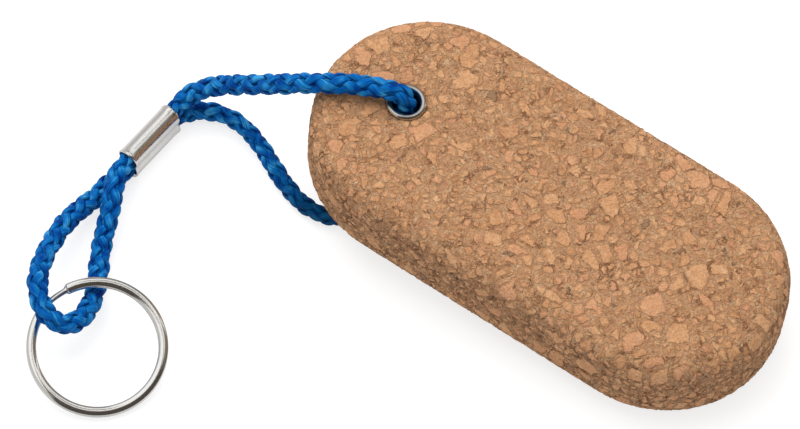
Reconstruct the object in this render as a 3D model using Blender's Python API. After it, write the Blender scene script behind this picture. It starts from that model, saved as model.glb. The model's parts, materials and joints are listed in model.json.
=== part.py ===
"""Cork keychain: a floating cork tag on a loop of braided cord, with a crimped ferrule and a split key ring.

The tag lies on a table. The cord goes down through the tag's eyelets and comes out under it, so it props that end of
the tag up a little. Metres, +Z up, with the origin on the table under the middle of the tag, ring and ferrule.
"""

import math

import bmesh
import bpy
import numpy as np
from mathutils import Matrix, Vector

MM = 0.001
GAP = 0.3 * MM

# Float: a thick oval plate of pressed cork granules.
FLOAT_LENGTH = 112 * MM
FLOAT_WIDTH = 52.3 * MM
FLOAT_THICKNESS = 21 * MM
FLOAT_ROUNDING = 5.6 * MM
HOLE_FROM_END = 19.3 * MM
RECESS_DEPTH = 0.55 * MM
FLOAT_CENTRE = (29.5 * MM, 0.0)
FLOAT_TURN = math.radians(-33.8)
FLOAT_TILT = math.radians(3.9)

# Eyelets: one pressed from sheet into each face of the float.
EYELET_BORE = 5.9 * MM
EYELET_SHEET = 0.35 * MM
EYELET_ROLL = 0.55 * MM
EYELET_BARREL = 6.0 * MM

# Cord: one length of braid, its two ends butted inside the ferrule.
CORD_DIAMETER = 4.8 * MM
CORD_CRIMPED = 3.4 * MM
CORD_RELIEF = 5.0 * MM
# The run under the float is drawn tight and thinner, from one length along the cord to another.
CORD_DRAWN = 4.1 * MM
DRAWN_FROM = 112 * MM
DRAWN_TO = 150 * MM
DRAWN_EASE = 12 * MM

# Ferrule: a sheet sleeve crimped to a figure of eight round two runs of the cord.
FERRULE_LENGTH = 15.0 * MM
FERRULE_WALL = 0.45 * MM
FERRULE_WAIST_RADIUS = 2.0 * MM
FERRULE_FLARE = 0.2 * MM
FERRULE_MOUTH_DIP = 0.35 * MM
FERRULE_CENTRE = (-55.89 * MM, 23.65 * MM)
FERRULE_TURN = math.radians(51.6)

# Split ring: two turns of flat wire, which step down to each other between the two free ends.
RING_DIAMETER = 30.0 * MM
WIRE_WIDTH = 2.1 * MM
WIRE_THICKNESS = 1.1 * MM
WIRE_ROUNDING = 0.42 * MM
TURN_GAP = 0.15 * MM
STEP_ANGLE = math.radians(26)
END_GAP_ANGLE = math.radians(1.5)
FREE_END_ANGLE = math.radians(15)
RING_CENTRE = (-65.6 * MM, -27.67 * MM)
RING_TILT = math.radians(18)
RING_HIGH_SIDE = math.radians(105)

# Centre line of the cord, in millimetres: out of the ferrule, over the float and down its hole, back along the table
# and through the ferrule, then round the ring and into the ferrule again.
CORD_ROUTE = [
    (-55.8, 23.8, 6.35),
    (-51.2, 29.5, 6.35),
    (-48.6, 32.2, 7.6),
    (-43.5, 33.0, 11.2),
    (-34.8, 29.3, 18.6),
    (-23.9, 24.4, 27.1),
    (-16.5, 22.6, 30.2),
    (-9.0, 21.8, 30.5),
    (-4.1, 20.75, 30.5),
    (-1.25, 20.15, 29.3),
    (-0.4, 20.0, 26.3),
    (-0.95, 20.4, 16.4),
    (-1.5, 20.75, 6.5),
    (-2.0, 19.7, 3.4),
    (-3.2, 16.6, 2.5),
    (-7.3, 9.6, 2.5),
    (-13.5, 5.9, 2.4),
    (-21.7, 8.6, 2.15),
    (-28.3, 17.3, 2.15),
    (-31.6, 23.2, 2.15),
    (-35.9, 28.8, 2.2),
    (-42.1, 32.2, 2.4),
    (-48.5, 32.0, 2.5),
    (-51.4, 29.3, 2.65),
    (-55.9, 23.65, 2.65),
    (-60.5, 17.8, 2.65),
    (-64.22, 14.31, 2.5),
    (-67.59, 9.86, 3.5),
    (-72.44, 3.1, 6.6),
    (-76.93, -8.19, 10.9),
    (-78.1, -17.0, 13.2),
    (-75.8, -23.8, 12.7),
    (-71.5, -24.5, 10.0),
    (-67.7, -19.2, 7.0),
    (-66.2, -11.0, 4.6),
    (-65.44, -1.69, 4.2),
    (-63.85, 5.01, 6.5),
    (-62.63, 12.44, 7.6),
    (-60.24, 18.16, 6.4),
    (-56.0, 23.5, 6.35),
]


def clear_scene():
    for item in list(bpy.data.objects):
        bpy.data.objects.remove(item, do_unlink=True)


def material(name, colour, roughness, metallic=0.0):
    made = bpy.data.materials.new(name)
    made.use_nodes = True
    shader = made.node_tree.nodes["Principled BSDF"]
    shader.inputs["Base Color"].default_value = (*colour, 1.0)
    shader.inputs["Roughness"].default_value = roughness
    shader.inputs["Metallic"].default_value = metallic
    return made


def placed(name, data, finish, matrix=Matrix.Identity(4)):
    """Link one object with its material and its place."""
    item = bpy.data.objects.new(name, data)
    item.data.materials.append(finish)
    item.matrix_world = matrix
    bpy.context.scene.collection.objects.link(item)
    return item


def skin(name, loops, closed):
    """Mesh through loops of equal length: the loops close on themselves, or their two ends are capped."""
    shape = bmesh.new()
    rows = [[shape.verts.new(point) for point in loop] for loop in loops]
    joins = list(zip(rows, rows[1:] + rows[:1])) if closed else list(zip(rows, rows[1:]))
    for near, far in joins:
        for i in range(len(near)):
            j = (i + 1) % len(near)
            shape.faces.new((near[i], near[j], far[j], far[i]))
    if not closed:
        shape.faces.new(reversed(rows[0]))
        shape.faces.new(rows[-1])
    bmesh.ops.recalc_face_normals(shape, faces=shape.faces)
    mesh = bpy.data.meshes.new(name)
    shape.to_mesh(mesh)
    shape.free()
    mesh.shade_smooth()
    mesh.set_sharp_from_angle(angle=math.radians(35))
    return mesh


def turned(name, profile, segments):
    """Solid of revolution about Z from a closed outline of (radius, height) points."""
    loops = []
    for k in range(segments):
        angle = math.tau * k / segments
        loops.append([(r * math.cos(angle), r * math.sin(angle), z) for r, z in profile])
    return skin(name, loops, closed=True)


def eased(share):
    """Smooth step from 0 to 1."""
    share = min(max(share, 0.0), 1.0)
    return share * share * (3 - 2 * share)


def arc(centre, radius, start, end, steps):
    """Points on an arc in the plane, both ends included; angles in degrees."""
    points = []
    for k in range(steps + 1):
        angle = math.radians(start + (end - start) * k / steps)
        points.append((centre[0] + radius * math.cos(angle), centre[1] + radius * math.sin(angle)))
    return points


def float_matrix():
    """Place of the float's centre: turned on the table, and dipping towards its far end until the rounding touches."""
    reach = FLOAT_LENGTH / 2 - FLOAT_ROUNDING
    drop = FLOAT_THICKNESS / 2 - FLOAT_ROUNDING
    height = reach * math.sin(FLOAT_TILT) + drop * math.cos(FLOAT_TILT) + FLOAT_ROUNDING
    turn = Matrix.Rotation(FLOAT_TURN, 4, "Z") @ Matrix.Rotation(FLOAT_TILT, 4, "Y")
    return Matrix.Translation((*FLOAT_CENTRE, height)) @ turn


def barrel_radius():
    return EYELET_BORE / 2 + EYELET_SHEET


def eyelet_radius():
    return EYELET_BORE / 2 + EYELET_SHEET + 2 * EYELET_ROLL


def hole_cutter(hole_x):
    """Through hole for the cord and the eyelets, with a shallow recess for a flange at each face."""
    bore = barrel_radius() + GAP
    recess = eyelet_radius() + GAP
    face = FLOAT_THICKNESS / 2
    floor = face - RECESS_DEPTH
    past = face + 1 * MM
    heights = [(0, past), (recess, past), (recess, floor), (bore, floor)]
    side = heights + [(r, -z) for r, z in reversed(heights)]
    shape = bmesh.new()
    points = [shape.verts.new((r, 0, z)) for r, z in side]
    edges = [shape.edges.new(pair) for pair in zip(points, points[1:])]
    axis = {"cent": (0, 0, 0), "axis": (0, 0, 1), "angle": math.tau, "steps": 48}
    bmesh.ops.spin(shape, geom=points + edges, use_merge=True, **axis)
    bmesh.ops.remove_doubles(shape, verts=shape.verts, dist=0.01 * MM)
    bmesh.ops.recalc_face_normals(shape, faces=shape.faces)
    mesh = bpy.data.meshes.new("hole_cutter")
    shape.to_mesh(mesh)
    shape.free()
    cutter = bpy.data.objects.new("hole_cutter", mesh)
    cutter.matrix_world = float_matrix() @ Matrix.Translation((hole_x, 0, 0))
    cutter.display_type = "WIRE"
    cutter.hide_render = True
    bpy.context.scene.collection.objects.link(cutter)
    return cutter


def make_float(hole_x, finish):
    """Oval plate: an extruded outline with two round ends, its rims rounded over, and its hole cut through."""
    radius = FLOAT_WIDTH / 2
    straight = FLOAT_LENGTH / 2 - radius
    outline = arc((straight, 0), radius, -90, 90, 24) + arc((-straight, 0), radius, 90, 270, 24)
    shape = bmesh.new()
    rim = [shape.verts.new((x, y, -FLOAT_THICKNESS / 2)) for x, y in outline]
    face = shape.faces.new(rim)
    grown = bmesh.ops.extrude_face_region(shape, geom=[face])
    raised = [item for item in grown["geom"] if isinstance(item, bmesh.types.BMVert)]
    bmesh.ops.translate(shape, verts=raised, vec=(0, 0, FLOAT_THICKNESS))
    bmesh.ops.recalc_face_normals(shape, faces=shape.faces)
    mesh = bpy.data.meshes.new("cork_float")
    shape.to_mesh(mesh)
    shape.free()
    mesh.shade_smooth()
    body = placed("cork_float", mesh, finish, float_matrix())
    rounding = body.modifiers.new("rim rounding", "BEVEL")
    rounding.width = FLOAT_ROUNDING
    rounding.segments = 6
    rounding.limit_method = "ANGLE"
    rounding.angle_limit = math.radians(60)
    hole = body.modifiers.new("cord hole", "BOOLEAN")
    hole.operation = "DIFFERENCE"
    hole.object = hole_cutter(hole_x)
    return body


def eyelet_profile():
    """Section of one eyelet, seat at height 0: straight barrel, funnel mouth and a rim rolled over to its outside."""
    half = EYELET_SHEET / 2
    roll = (EYELET_BORE / 2 + half + EYELET_ROLL, 0)
    inner = arc(roll, EYELET_ROLL + half, 180, 8, 7)
    outer = arc(roll, EYELET_ROLL - half, 8, 180, 5)
    foot = [(barrel_radius(), -EYELET_BARREL), (EYELET_BORE / 2, -EYELET_BARREL)]
    return inner + outer + foot


def make_eyelets(hole_x, finish):
    """The same eyelet in the float's upper and lower face, each down in its recess."""
    mesh = turned("eyelet", eyelet_profile(), 36)
    seat = FLOAT_THICKNESS / 2 - RECESS_DEPTH + GAP
    for name, flip in (("eyelet_front", 0), ("eyelet_back", math.pi)):
        turn = Matrix.Rotation(flip, 4, "X")
        place = float_matrix() @ Matrix.Translation((hole_x, 0, 0)) @ turn
        placed(name, mesh, finish, place @ Matrix.Translation((0, 0, seat)))


def lane_radius():
    return CORD_CRIMPED / 2 + GAP


def lane_offset():
    """Half the distance between the two runs of cord in the ferrule."""
    return (CORD_CRIMPED + GAP) / 2


def lobed_outline(grow):
    """Figure of eight round the two runs of cord: a round lobe for each, and a hollow waist between them."""
    lobe = lane_radius() + grow
    waist = FERRULE_WAIST_RADIUS + FERRULE_WALL - grow
    offset = lane_offset()
    waist_x = math.sqrt((lobe + waist) ** 2 - offset**2)
    lean = math.degrees(math.atan2(offset, waist_x))
    right = arc((waist_x, 0), waist, 180 + lean, 180 - lean, 5)
    top = arc((0, offset), lobe, -lean, 180 + lean, 14)
    left = [(-x, -z) for x, z in right]
    bottom = [(-x, -z) for x, z in top]
    return right[:-1] + top[:-1] + left[:-1] + bottom[:-1]


def make_ferrule(finish):
    """Sleeve along X before it is turned: mouths flared a little, and dipped in where the crimp squeezed the waist."""
    half = FERRULE_LENGTH / 2
    stations = [(-half, 1.0), (-half + 0.3 * MM, 0.8), (-half + 1.2 * MM, 0.15), (-half + 2.4 * MM, 0.0)]
    stations += [(-x, flare) for x, flare in reversed(stations)]
    height = lane_offset() + lane_radius() + FERRULE_WALL + FERRULE_FLARE

    def loop(x, flare, grow):
        points = []
        for across, up in lobed_outline(grow + flare * FERRULE_FLARE):
            dip = FERRULE_MOUTH_DIP * flare * (1 - (up / height) ** 2)
            points.append((x - math.copysign(dip, x), across, up))
        return points

    outside = [loop(x, flare, FERRULE_WALL) for x, flare in stations]
    inside = [loop(x, flare, 0.0) for x, flare in reversed(stations)]
    mesh = skin("ferrule", outside + inside, closed=True)
    turn = Matrix.Rotation(FERRULE_TURN, 4, "Z")
    return placed("ferrule", mesh, finish, Matrix.Translation((*FERRULE_CENTRE, height)) @ turn)


def ring_matrix():
    """Place of the ring's centre: its low side on the table, its high side up on the cord."""
    radius = RING_DIAMETER / 2 - WIRE_ROUNDING
    half = WIRE_THICKNESS + TURN_GAP / 2 - WIRE_ROUNDING
    height = radius * math.sin(RING_TILT) + half * math.cos(RING_TILT) + WIRE_ROUNDING
    turn = Matrix.Rotation(RING_HIGH_SIDE, 4, "Z") @ Matrix.Rotation(-RING_TILT, 4, "Y")
    return Matrix.Translation((*RING_CENTRE, height)) @ turn


def wire_section():
    """Flat wire with round edges, as (radial, axial) offsets from its centre."""
    across = WIRE_WIDTH / 2 - WIRE_ROUNDING
    up = WIRE_THICKNESS / 2 - WIRE_ROUNDING
    corners = [(across, up, 0), (-across, up, 90), (-across, -up, 180), (across, -up, 270)]
    points = []
    for x, z, start in corners:
        points += arc((x, z), WIRE_ROUNDING, start, start + 90, 2)
    return points


def make_ring(finish):
    """Two turns of the wire, from the free end on top round to the free end below, with a step down half way."""
    middle = (RING_DIAMETER - WIRE_WIDTH) / 2
    level = (WIRE_THICKNESS + TURN_GAP) / 2
    start = END_GAP_ANGLE / 2
    end = 2 * math.tau - STEP_ANGLE - END_GAP_ANGLE / 2
    steps = 170
    loops = []
    for k in range(steps + 1):
        run = start + (end - start) * k / steps
        drop = eased((run - math.tau + STEP_ANGLE) / STEP_ANGLE)
        angle = FREE_END_ANGLE - run
        height = level * (1 - 2 * drop)
        points = []
        for across, up in wire_section():
            radius = middle + across
            points.append((radius * math.cos(angle), radius * math.sin(angle), height + up))
        loops.append(points)
    return placed("split_ring", skin("split_ring", loops, closed=False), finish, ring_matrix())


def smooth_curve(points, samples):
    """Natural cubic spline through the points, as an array of evenly numbered samples."""
    knots = np.array(points, float)
    spans = np.sqrt(np.linalg.norm(np.diff(knots, axis=0), axis=1))
    at = np.concatenate([[0.0], np.cumsum(spans)])
    count = len(knots)
    system = np.eye(count)
    right = np.zeros((count, 3))
    slopes = np.diff(knots, axis=0) / spans[:, None]
    for i in range(1, count - 1):
        system[i, i - 1 : i + 2] = spans[i - 1], 2 * (spans[i - 1] + spans[i]), spans[i]
        right[i] = 6 * (slopes[i] - slopes[i - 1])
    bend = np.linalg.solve(system, right)
    where = np.linspace(0.0, at[-1], samples)
    k = np.clip(np.searchsorted(at, where, side="right") - 1, 0, count - 2)
    span = spans[k][:, None]
    after = (where - at[k])[:, None]
    before = (at[k + 1] - where)[:, None]
    cubic = (bend[k] * before**3 + bend[k + 1] * after**3) / (6 * span)
    line = (knots[k] / span - bend[k] * span / 6) * before
    return cubic + line + (knots[k + 1] / span - bend[k + 1] * span / 6) * after


def spaced(curve, count):
    """Points along the curve, closer together where it bends."""
    steps = np.diff(curve, axis=0)
    lengths = np.linalg.norm(steps, axis=1)
    ways = steps / lengths[:, None]
    turns = np.arccos(np.clip(np.sum(ways[1:] * ways[:-1], axis=1), -1, 1))
    turn_length = 10 * CORD_DIAMETER / math.tau
    effort = lengths + turn_length * np.concatenate([[0.0], turns])
    run = np.concatenate([[0.0], np.cumsum(effort)])
    wanted = np.linspace(0.0, run[-1], count)
    return np.stack([np.interp(wanted, run, curve[:, i]) for i in range(3)], axis=1)


def crimp(point):
    """Share of its diameter that the cord keeps there: less within the ferrule and close to its mouths."""
    axis = Vector((math.cos(FERRULE_TURN), math.sin(FERRULE_TURN)))
    away = Vector(point[:2]) - Vector(FERRULE_CENTRE)
    along = away.dot(axis)
    if (away - along * axis).length > CORD_DIAMETER:
        return 1.0
    smallest = CORD_CRIMPED / CORD_DIAMETER
    return smallest + (1 - smallest) * eased((abs(along) - FERRULE_LENGTH / 2) / CORD_RELIEF)


def drawn(run):
    """Share of its diameter that the cord keeps at a length along it: less where it is drawn tight."""
    full = max(eased((DRAWN_FROM - run) / DRAWN_EASE), eased((run - DRAWN_TO) / DRAWN_EASE))
    smallest = CORD_DRAWN / CORD_DIAMETER
    return smallest + (1 - smallest) * full


def make_cord(finish):
    """A round tube along the route, thinner where the ferrule or the pull on it squeezes it."""
    path = spaced(smooth_curve(CORD_ROUTE, 2400) * MM, 79)
    lengths = np.linalg.norm(np.diff(path, axis=0), axis=1)
    runs = np.concatenate([[0.0], np.cumsum(lengths)])
    curve = bpy.data.curves.new("cord", "CURVE")
    curve.dimensions = "3D"
    curve.bevel_depth = CORD_DIAMETER / 2
    curve.bevel_resolution = 3
    curve.use_fill_caps = True
    spline = curve.splines.new("POLY")
    spline.points.add(len(path) - 1)
    for point, place, run in zip(spline.points, path, runs):
        point.co = (*place, 1.0)
        point.radius = min(crimp(place), drawn(run))
    return placed("cord", curve, finish)


def main():
    clear_scene()
    cork = material("cork", (0.58, 0.33, 0.17), 0.9)
    nickel = material("nickel_plate", (0.62, 0.60, 0.56), 0.25, 1.0)
    tin = material("tinned_sheet", (0.66, 0.64, 0.60), 0.3, 1.0)
    steel = material("nickel_steel", (0.62, 0.60, 0.57), 0.18, 1.0)
    blue = material("blue_braid", (0.01, 0.09, 0.38), 0.6)
    hole_x = HOLE_FROM_END - FLOAT_LENGTH / 2
    make_float(hole_x, cork)
    make_eyelets(hole_x, nickel)
    make_cord(blue)
    make_ferrule(tin)
    make_ring(steel)


main()
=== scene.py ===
# %% [markdown]
# # A floating cork keychain
# The object is a thick oval tag of pressed cork on a loop of blue braid. A crimped metal sleeve closes the
# loop, and a split key ring hangs in its smaller end. The solid model comes in first as a fixed frame, and
# everything below is made around it, at its size and in its place. All lengths are in metres.

# %% Load the solid model
import json
import math

import bpy
import numpy as np
from mathutils import Matrix, Vector


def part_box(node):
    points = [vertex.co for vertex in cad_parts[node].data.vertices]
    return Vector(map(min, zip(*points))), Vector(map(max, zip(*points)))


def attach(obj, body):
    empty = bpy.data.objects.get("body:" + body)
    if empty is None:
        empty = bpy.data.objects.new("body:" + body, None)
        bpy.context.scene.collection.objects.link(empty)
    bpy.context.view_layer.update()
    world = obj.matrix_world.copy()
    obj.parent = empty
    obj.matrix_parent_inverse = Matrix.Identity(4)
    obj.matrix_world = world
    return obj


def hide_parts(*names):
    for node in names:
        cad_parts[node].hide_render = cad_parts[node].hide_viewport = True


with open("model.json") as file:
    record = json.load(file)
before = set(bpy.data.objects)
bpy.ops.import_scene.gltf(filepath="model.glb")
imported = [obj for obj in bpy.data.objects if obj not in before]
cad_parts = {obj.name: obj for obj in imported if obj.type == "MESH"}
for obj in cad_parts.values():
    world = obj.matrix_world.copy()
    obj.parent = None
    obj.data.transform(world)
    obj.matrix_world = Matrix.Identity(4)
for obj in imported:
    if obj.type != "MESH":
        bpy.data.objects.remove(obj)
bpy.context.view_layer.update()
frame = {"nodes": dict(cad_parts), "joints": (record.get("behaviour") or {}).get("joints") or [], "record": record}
MM = 0.001

# %% [markdown]
# ## The camera
# The picture looks down on the table at a steep angle, from far away. A long lens far off keeps the oval from
# tapering, so the lens, the distance and the point aimed at are worked out together from the picture's
# outlines.

# %% Camera
CAMERA_AIM = Vector((-0.0017, 0.0079, 0.0))
CAMERA_ELEVATION = math.radians(60)
CAMERA_DISTANCE = 1.069
CAMERA_LENS = 223.0

camera_data = bpy.data.cameras.new("camera")
camera_data.lens = CAMERA_LENS
camera_data.sensor_width = 36.0
camera = bpy.data.objects.new("camera", camera_data)
camera_way = Vector((0.0, -math.cos(CAMERA_ELEVATION), math.sin(CAMERA_ELEVATION)))
camera.location = CAMERA_AIM + CAMERA_DISTANCE * camera_way
camera.rotation_euler = (math.pi / 2 - CAMERA_ELEVATION, 0.0, 0.0)
bpy.context.scene.collection.objects.link(camera)
bpy.context.scene.camera = camera
print("camera at", tuple(camera.location))

# %% [markdown]
# ## The cord's way
# One length of braid leaves the sleeve, climbs over the tag, drops through its eyelets, comes back along the
# table and through the sleeve, goes round the key ring and ends in the sleeve again. A cord never kinks, so
# the listed points are joined by a spline whose bend changes smoothly. A natural cubic spline does
# that, and its knots are spaced by the root of their distance, which keeps short spans next to long ones from
# bulging.

# %% Route of the cord
CORD_DIAMETER = 4.8 * MM
SPLINE_SAMPLES = 4000
CORD_POINTS = 1200
CORD_ROUTE = [
    (-0.0558, 0.0238, 0.00635),
    (-0.0512, 0.0295, 0.00635),
    (-0.0486, 0.0322, 0.0076),
    (-0.0435, 0.033, 0.0112),
    (-0.0348, 0.0293, 0.0186),
    (-0.0239, 0.0244, 0.0271),
    (-0.0165, 0.0226, 0.0302),
    (-0.009, 0.0218, 0.0305),
    (-0.0041, 0.02075, 0.0305),
    (-0.00125, 0.02015, 0.0293),
    (-0.0004, 0.02, 0.0263),
    (-0.00095, 0.0204, 0.0164),
    (-0.0015, 0.02075, 0.0065),
    (-0.002, 0.0197, 0.0034),
    (-0.0032, 0.0166, 0.0025),
    (-0.0073, 0.0096, 0.0025),
    (-0.0135, 0.0059, 0.0024),
    (-0.0217, 0.0086, 0.00215),
    (-0.0283, 0.0173, 0.00215),
    (-0.0316, 0.0232, 0.00215),
    (-0.0359, 0.0288, 0.0022),
    (-0.0421, 0.0322, 0.0024),
    (-0.0485, 0.032, 0.0025),
    (-0.0514, 0.0293, 0.00265),
    (-0.0559, 0.02365, 0.00265),
    (-0.0605, 0.0178, 0.00265),
    (-0.06422, 0.01431, 0.0025),
    (-0.06759, 0.00986, 0.0035),
    (-0.07244, 0.0031, 0.0066),
    (-0.07693, -0.00819, 0.0109),
    (-0.0781, -0.017, 0.0132),
    (-0.0758, -0.0238, 0.0127),
    (-0.0715, -0.0245, 0.01),
    (-0.0677, -0.0192, 0.007),
    (-0.0662, -0.011, 0.0046),
    (-0.06544, -0.00169, 0.0042),
    (-0.06385, 0.00501, 0.0065),
    (-0.06263, 0.01244, 0.0076),
    (-0.06024, 0.01816, 0.0064),
    (-0.056, 0.0235, 0.00635),
]


def smooth_curve(points, samples):
    """Natural cubic spline through the points."""
    knots = np.array(points, float)
    spans = np.sqrt(np.linalg.norm(np.diff(knots, axis=0), axis=1))
    at = np.concatenate([[0.0], np.cumsum(spans)])
    count = len(knots)
    system = np.eye(count)
    right = np.zeros((count, 3))
    slopes = np.diff(knots, axis=0) / spans[:, None]
    for i in range(1, count - 1):
        system[i, i - 1 : i + 2] = spans[i - 1], 2 * (spans[i - 1] + spans[i]), spans[i]
        right[i] = 6 * (slopes[i] - slopes[i - 1])
    bend = np.linalg.solve(system, right)
    where = np.linspace(0.0, at[-1], samples)
    k = np.clip(np.searchsorted(at, where, side="right") - 1, 0, count - 2)
    span = spans[k][:, None]
    after = (where - at[k])[:, None]
    before = (at[k + 1] - where)[:, None]
    cubic = (bend[k] * before**3 + bend[k + 1] * after**3) / (6 * span)
    line = (knots[k] / span - bend[k] * span / 6) * before
    return cubic + line + (knots[k + 1] / span - bend[k + 1] * span / 6) * after


def even_steps(curve, count):
    """The same curve at points an equal length apart, and that length from its start."""
    runs = np.concatenate([[0.0], np.cumsum(np.linalg.norm(np.diff(curve, axis=0), axis=1))])
    wanted = np.linspace(0.0, runs[-1], count)
    return np.stack([np.interp(wanted, runs, curve[:, i]) for i in range(3)], axis=1), wanted


cord_line, cord_runs = even_steps(smooth_curve(CORD_ROUTE, SPLINE_SAMPLES), CORD_POINTS)
cord_length = float(cord_runs[-1])
print("cord length", round(cord_length, 4))

# %% [markdown]
# ## A frame that travels along the cord
# A strand winds round the cord's centre line, so each point of the line needs two directions square to it.
# Taking them from a fixed up direction would make them flip in the steep hole of the tag. Carrying one
# direction along, and only tipping it as the line turns, never flips and adds no twist.


# %% Directions across the cord
def unit(rows):
    return rows / np.linalg.norm(rows, axis=-1, keepdims=True)


def carried_frames(line):
    """Two directions square to the line at each of its points, which turn as little as they can."""
    tangent = unit(np.gradient(line, axis=0))
    across = np.zeros_like(tangent)
    across[0] = unit(np.cross(tangent[0], (0.0, 0.0, 1.0)))
    for i in range(1, len(line)):
        carried = across[i - 1] - tangent[i] * np.dot(across[i - 1], tangent[i])
        across[i] = carried / np.linalg.norm(carried)
    return across, np.cross(tangent, across)


cord_across, cord_over = carried_frames(cord_line)
print("first direction across the cord", cord_across[0].round(3))

# %% [markdown]
# ## How thick the cord is along its way
# The crimp squeezes both runs, and the run under the tag is pulled tight and thinner. Both are one share of
# the full diameter at each point, which later scales the strands and how far out they lie.

# %% Thickness of the cord along its way
FERRULE_TURN = math.radians(51.6)
FERRULE_LENGTH = 15.0 * MM
CRIMPED_SHARE = 3.8 / 4.8
CRIMP_RELIEF = 3.8 * MM
DRAWN_SHARE = 4.1 / 4.8
DRAWN_FROM = 112 * MM
DRAWN_TO = 150 * MM
DRAWN_EASE = 12 * MM

ferrule_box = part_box("ferrule")
ferrule_middle = (ferrule_box[0] + ferrule_box[1]) / 2


def eased(share):
    """A share from 0 to 1 that starts and ends softly."""
    share = np.clip(share, 0.0, 1.0)
    return share * share * (3 - 2 * share)


def cord_share(line, runs):
    """Share of its full diameter that the cord keeps at each point."""
    axis = np.array((math.cos(FERRULE_TURN), math.sin(FERRULE_TURN)))
    away = line[:, :2] - np.array(ferrule_middle[:2])
    along = away @ axis
    beside = np.linalg.norm(away - along[:, None] * axis, axis=1) > CORD_DIAMETER
    free = eased((np.abs(along) - FERRULE_LENGTH / 2) / CRIMP_RELIEF)
    crimp = np.where(beside, 1.0, CRIMPED_SHARE + (1 - CRIMPED_SHARE) * free)
    before, after = eased((DRAWN_FROM - runs) / DRAWN_EASE), eased((runs - DRAWN_TO) / DRAWN_EASE)
    return np.minimum(crimp, DRAWN_SHARE + (1 - DRAWN_SHARE) * np.maximum(before, after))


cord_shares = cord_share(cord_line, cord_runs)
print("cord diameter from", cord_shares.min() * CORD_DIAMETER, "to", cord_shares.max() * CORD_DIAMETER)

# %% [markdown]
# ## The braid
# The cord is eight fat strands, four winding each way, and each passes over one and under one. Where strands
# cross, the upper one shows as a leaf-shaped facet. On such a braid the crossings stand in eight straight
# columns: strands of one hand are on top in every second column, so a strand's height is a cosine of four
# times its angle round the cord.
#
# Each strand is a flattened tube. Its section is laid out on the unrolled skin of the cord, and then wrapped
# round the centre line, so that a wide strand bends round the cord as a soft one does. Slow waves in the
# width, the lift and the pitch keep the facets from looking machined. A plain core fills the middle.

# %% Sizes of the braid
STRANDS_EACH_WAY = 4
BRAID_PITCH = 21.0 * MM
STRAND_MIDDLE = 1.53 * MM
STRAND_LIFT = 0.36 * MM
STRAND_WIDTH = 2.1 * MM
STRAND_THICKNESS = 0.98 * MM
STRAND_LEAN = 1.25
STRAND_STATIONS = 640
STRAND_SIDES = 12
CORE_RADIUS = 1.42 * MM
CORE_SIDES = 16
ANGLE_WAVE = (19 * MM, 0.07)
LIFT_WAVE = (27 * MM, 0.09 * MM)
WIDTH_WAVE = (23 * MM, 0.12)
PITCH_WAVE = (67 * MM, 0.08)
TWIST_WAVE = (120 * MM, 0.5)
WAVE_STEPS = (1.0, 1.7, 2.9)
WAVE_PEAK = 1.9
braid_random = np.random.RandomState(11)


# %% One strand
def slow_wave(runs, wavelength, size):
    """A smooth irregular wave along the cord, of three sines with chosen phases."""
    total = np.zeros_like(runs)
    for step in WAVE_STEPS:
        total += np.sin(math.tau * runs * step / wavelength + braid_random.uniform(0, math.tau)) / step
    return size * total / WAVE_PEAK


def along_cord(values, runs):
    """Values kept at the cord's points, read at other lengths along it."""
    return np.stack([np.interp(runs, cord_runs, values[:, i]) for i in range(3)], axis=-1)


def round_the_line(runs, turned, radius):
    """Points round the centre line, at an angle and a distance from it."""
    across, above = along_cord(cord_across, runs), along_cord(cord_over, runs)
    way = np.cos(turned)[..., None] * across + np.sin(turned)[..., None] * above
    return along_cord(cord_line, runs) + radius[..., None] * way


def strand_rings(start, hand, pitch_turns, twist):
    """Points of one strand, station by station, and the place of each across and along it."""
    runs = np.linspace(0.0, cord_length, STRAND_STATIONS)
    share = np.interp(runs, cord_runs, cord_shares)[:, None]
    angle = start + hand * np.interp(runs, cord_runs, pitch_turns) + slow_wave(runs, *ANGLE_WAVE)
    over = hand * np.cos(STRANDS_EACH_WAY * angle)
    lift = STRAND_LIFT * over * (1.22 - 0.22 * over**2) + slow_wave(runs, *LIFT_WAVE)
    width = STRAND_WIDTH * (0.86 + 0.14 * over) * (1 + slow_wave(runs, *WIDTH_WAVE))
    slope = math.atan(math.tau * STRAND_MIDDLE * STRAND_LEAN / BRAID_PITCH)
    round_section = np.arange(STRAND_SIDES) * math.tau / STRAND_SIDES
    side = np.cos(round_section)[None, :] * width[:, None] / 2
    raised = np.sin(round_section)[None, :] * STRAND_THICKNESS / 2
    radius = (STRAND_MIDDLE + lift[:, None] + raised) * share
    at = np.clip(runs[:, None] - hand * side * share * math.sin(slope), 0.0, cord_length)
    turned = angle[:, None] + side * math.cos(slope) / (STRAND_MIDDLE + STRAND_LIFT)
    turned = turned + np.interp(runs, cord_runs, twist)[:, None]
    fibre = np.stack(np.broadcast_arrays(side, runs[:, None], start + hand), axis=-1)
    return round_the_line(at, turned, radius), fibre


def core_rings():
    """The core's points, so that no light comes through between the strands."""
    runs = np.linspace(0.0, cord_length, STRAND_STATIONS)[:, None]
    turned = (np.arange(CORE_SIDES) * math.tau / CORE_SIDES)[None, :]
    radius = CORE_RADIUS * np.interp(runs, cord_runs, cord_shares)
    points = round_the_line(runs, turned, radius)
    fibre = np.zeros_like(points)
    fibre[..., 1] = runs
    return points, fibre


# %% Tubes and meshes
def tube_faces(stations, sides, first, closed):
    """Quads round a tube whose rings are numbered from first; closed joins the last ring to the first."""
    ring = np.arange(sides)
    last = stations if closed else stations - 1
    near = first + sides * np.arange(last)[:, None]
    far = first + sides * ((np.arange(last)[:, None] + 1) % stations)
    after = (ring + 1) % sides
    return np.stack([near + ring, near + after, far + after, far + ring], axis=-1).reshape(-1, 4)


def tube_caps(stations, sides, first):
    """The two end faces of an open tube."""
    end = first + stations * sides
    return [range(first + sides - 1, first - 1, -1), range(end - sides, end)]


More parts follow.
